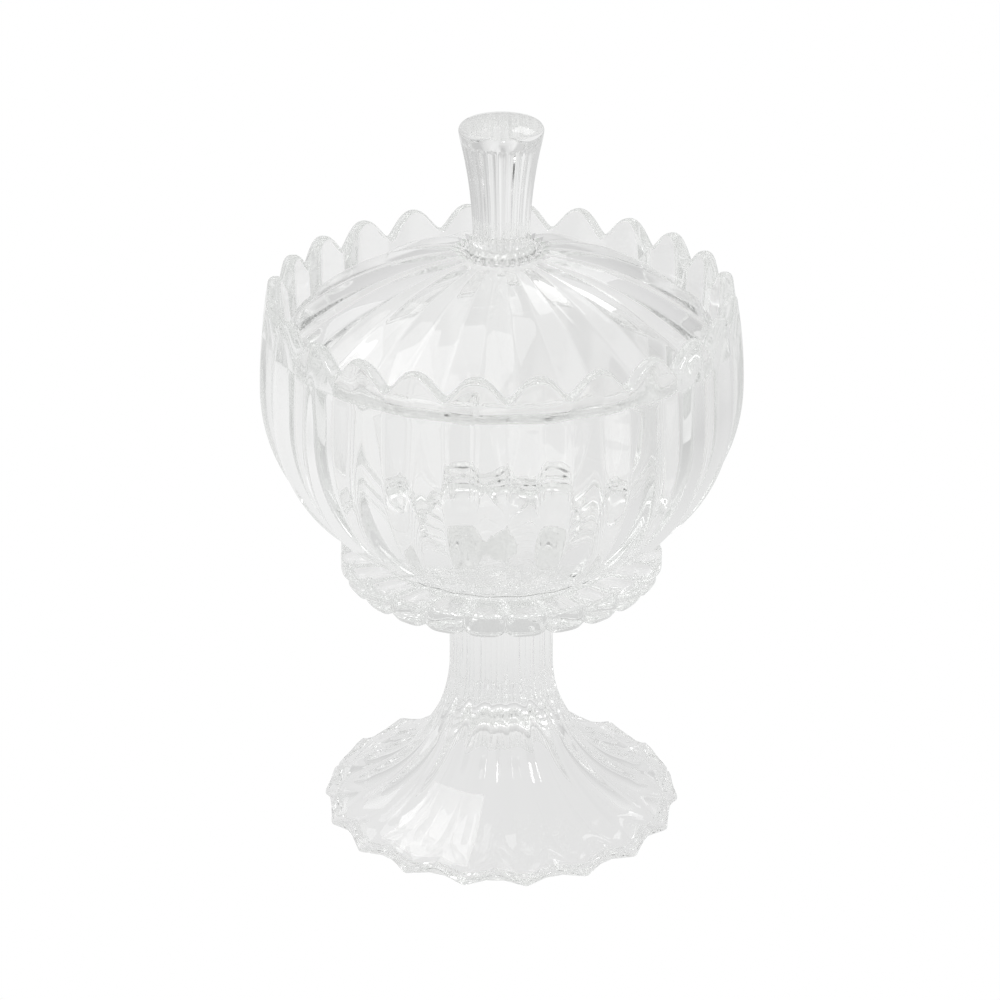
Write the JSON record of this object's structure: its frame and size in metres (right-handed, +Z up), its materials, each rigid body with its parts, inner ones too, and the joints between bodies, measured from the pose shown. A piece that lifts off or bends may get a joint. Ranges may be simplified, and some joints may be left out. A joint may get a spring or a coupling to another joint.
{
  "type": "powder jar",
  "caption": "Footed vanity jar in clear fluted glass: scalloped bowl on a flared pedestal, with a domed lift-off lid and a tall fluted knob.",
  "frame": {"origin": "centre of the ring under the foot, on the surface the jar stands on", "axes": "+Z up along the jar's axis; a groove of the bowl points along -Y, towards the front"},
  "size_m": [0.1218, 0.1218, 0.1915],
  "materials": {
    "bowl_glass": "clear pressed glass, fire polished",
    "pedestal_glass": "clear pressed glass, fire polished",
    "lid_glass": "clear pressed glass, fire polished",
    "knob_glass": "clear pressed glass, fire polished",
    "clear_adhesive": "clear cured adhesive",
    "label_film": "plain translucent white film"
  },
  "bodies": {
    "base": {"bowl": "bowl_glass", "pedestal": "pedestal_glass", "stem_bond": "clear_adhesive", "blank_label": "label_film"},
    "lid": {"lid": "lid_glass", "lid_knob": "knob_glass", "knob_bond": "clear_adhesive"}
  },
  "joints": [
    {"name": "lid_lift", "type": "slide", "parent": "base", "child": "lid", "axis": [0, 0, 1], "range_m": [0, 0.08]}
  ]
}
